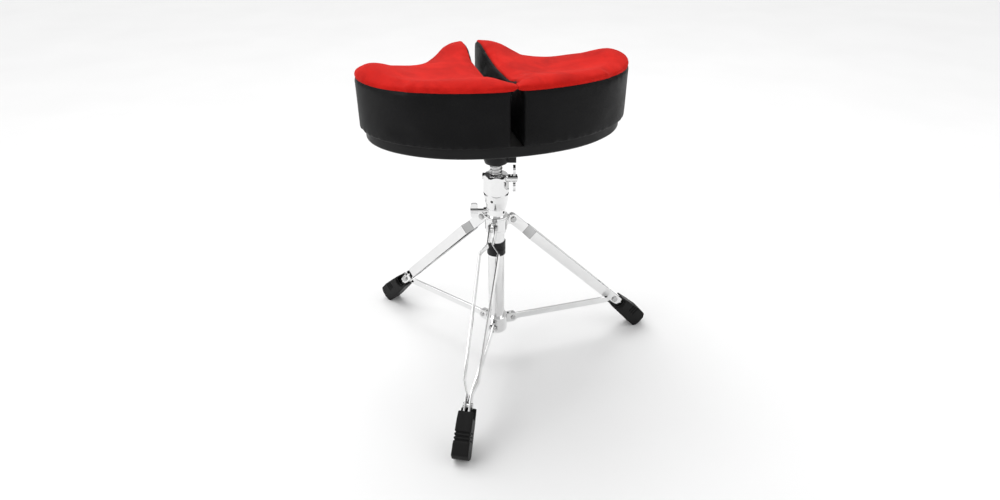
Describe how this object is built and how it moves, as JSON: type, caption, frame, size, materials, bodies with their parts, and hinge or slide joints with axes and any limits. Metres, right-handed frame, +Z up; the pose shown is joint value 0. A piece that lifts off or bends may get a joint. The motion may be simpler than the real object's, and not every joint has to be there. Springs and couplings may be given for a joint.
{
  "type": "drum throne",
  "caption": "Folding drum throne: split saddle seat on a screw spindle, chrome column and double-braced tripod with rubber feet.",
  "frame": {"origin": "on the floor, on the axis of the column", "axes": "+Z up along the column, +Y towards the nose of the seat, +X to the sitter's right"},
  "size_m": [0.5374, 0.5555, 0.5681],
  "materials": {
    "velour": "soft napped velour",
    "vinyl": "grained black vinyl",
    "foam": "open-cell foam",
    "tray_plastic": "matt moulded",
    "board": "stained plywood",
    "black_metal": "black powder coat",
    "screw_steel": "dark zinc",
    "black_plastic": "satin",
    "nylon": "satin",
    "rubber": "matt moulded rubber",
    "rod_steel": "bright zinc",
    "rivet_steel": "bright zinc",
    "chrome": "polished chrome plate"
  },
  "bodies": {
    "column": {"column_tube": "chrome", "tube_end_cap": "black_plastic", "flange_ring": "chrome", "guide_collar": "black_plastic", "leg_hub": "chrome", "housing": "chrome", "set_screws": "screw_steel"},
    "lower_hub": {"lower_hub": "chrome", "strut_pin_rear": "rivet_steel", "strut_pin_right": "rivet_steel", "strut_pin_left": "rivet_steel"},
    "rod_bushing": {"rod_bushing": "nylon"},
    "seat": {"top_pad_left": "velour", "top_pad_right": "velour", "skirt_left": "vinyl", "skirt_right": "vinyl", "foam_core_left": "foam", "foam_core_right": "foam", "base_tray": "tray_plastic", "seat_board": "board", "seat_boss": "black_metal", "boss_screws": "screw_steel", "tray_screws": "screw_steel", "threaded_rod": "rod_steel", "rod_pin": "screw_steel"},
    "clamp_wing": {"clamp_bolt": "chrome", "wing_grip": "chrome"},
    "tee_wing": {"tee_bolt": "chrome", "tee_grip": "chrome"},
    "leg_rear": {"leg_strip_rear_a": "chrome", "leg_strip_rear_b": "chrome", "leg_pin_rear": "rivet_steel", "leg_rivets_rear": "rivet_steel", "rubber_foot_rear": "rubber"},
    "strut_rear": {"strut_rear": "chrome"},
    "leg_right": {"leg_strip_right_a": "chrome", "leg_strip_right_b": "chrome", "leg_pin_right": "rivet_steel", "leg_rivets_right": "rivet_steel", "rubber_foot_right": "rubber"},
    "strut_right": {"strut_right": "chrome"},
    "leg_left": {"leg_strip_left_a": "chrome", "leg_strip_left_b": "chrome", "leg_pin_left": "rivet_steel", "leg_rivets_left": "rivet_steel", "rubber_foot_left": "rubber"},
    "strut_left": {"strut_left": "chrome"}
  },
  "joints": [
    {"name": "fold", "type": "slide", "parent": "column", "child": "lower_hub", "axis": [0, 0, 1], "range_m": [0, 0.1188]},
    {"name": "leg_rear_swing", "type": "hinge", "parent": "column", "child": "leg_rear", "pos_m": [-0.01239, -0.02732, 0.2813], "axis": [0.9107, -0.4131, 0], "range_deg": [0, 37.51]},
    {"name": "strut_rear_swing", "type": "hinge", "parent": "lower_hub", "child": "strut_rear", "pos_m": [-0.01293, -0.0285, 0.0729], "axis": [0.9107, -0.4131, 0], "range_deg": [0, 77.66]},
    {"name": "leg_right_swing", "type": "hinge", "parent": "column", "child": "leg_right", "pos_m": [0.02986, 0.00293, 0.2813], "axis": [-0.0976, 0.9952, 0], "range_deg": [0, 37.51]},
    {"name": "strut_right_swing", "type": "hinge", "parent": "lower_hub", "child": "strut_right", "pos_m": [0.03115, 0.00305, 0.0729], "axis": [-0.0976, 0.9952, 0], "range_deg": [0, 77.66]},
    {"name": "leg_left_swing", "type": "hinge", "parent": "column", "child": "leg_left", "pos_m": [-0.01746, 0.02439, 0.2813], "axis": [-0.8131, -0.5821, 0], "range_deg": [0, 37.51]},
    {"name": "strut_left_swing", "type": "hinge", "parent": "lower_hub", "child": "strut_left", "pos_m": [-0.01822, 0.02545, 0.0729], "axis": [-0.8131, -0.5821, 0], "range_deg": [0, 77.66]},
    {"name": "seat_turn", "type": "hinge", "parent": "column", "child": "rod_bushing", "pos_m": [0, 0, 0.36], "axis": [0, 0, 1], "range_deg": [-240, 6240]},
    {"name": "seat_lift", "type": "slide", "parent": "rod_bushing", "child": "seat", "axis": [0, 0, 1], "range_m": [-0.004, 0.104]},
    {"name": "clamp_turn", "type": "hinge", "parent": "column", "child": "clamp_wing", "pos_m": [0, 0, 0.362], "axis": [0.972, -0.2351, 0], "range_deg": [0, 360]},
    {"name": "tee_turn", "type": "hinge", "parent": "column", "child": "tee_wing", "pos_m": [0, 0, 0.301], "axis": [-0.972, 0.2351, 0], "range_deg": [0, 360]}
  ],
  "couplings": [
    {"joint": "leg_rear_swing", "follows": "fold", "rad_per_m": 5.5099},
    {"joint": "strut_rear_swing", "follows": "fold", "rad_per_m": 11.409},
    {"joint": "leg_right_swing", "follows": "fold", "rad_per_m": 5.5099},
    {"joint": "strut_right_swing", "follows": "fold", "rad_per_m": 11.409},
    {"joint": "leg_left_swing", "follows": "fold", "rad_per_m": 5.5099},
    {"joint": "strut_left_swing", "follows": "fold", "rad_per_m": 11.409},
    {"joint": "seat_lift", "follows": "seat_turn", "m_per_rad": 0.00095493}
  ]
}
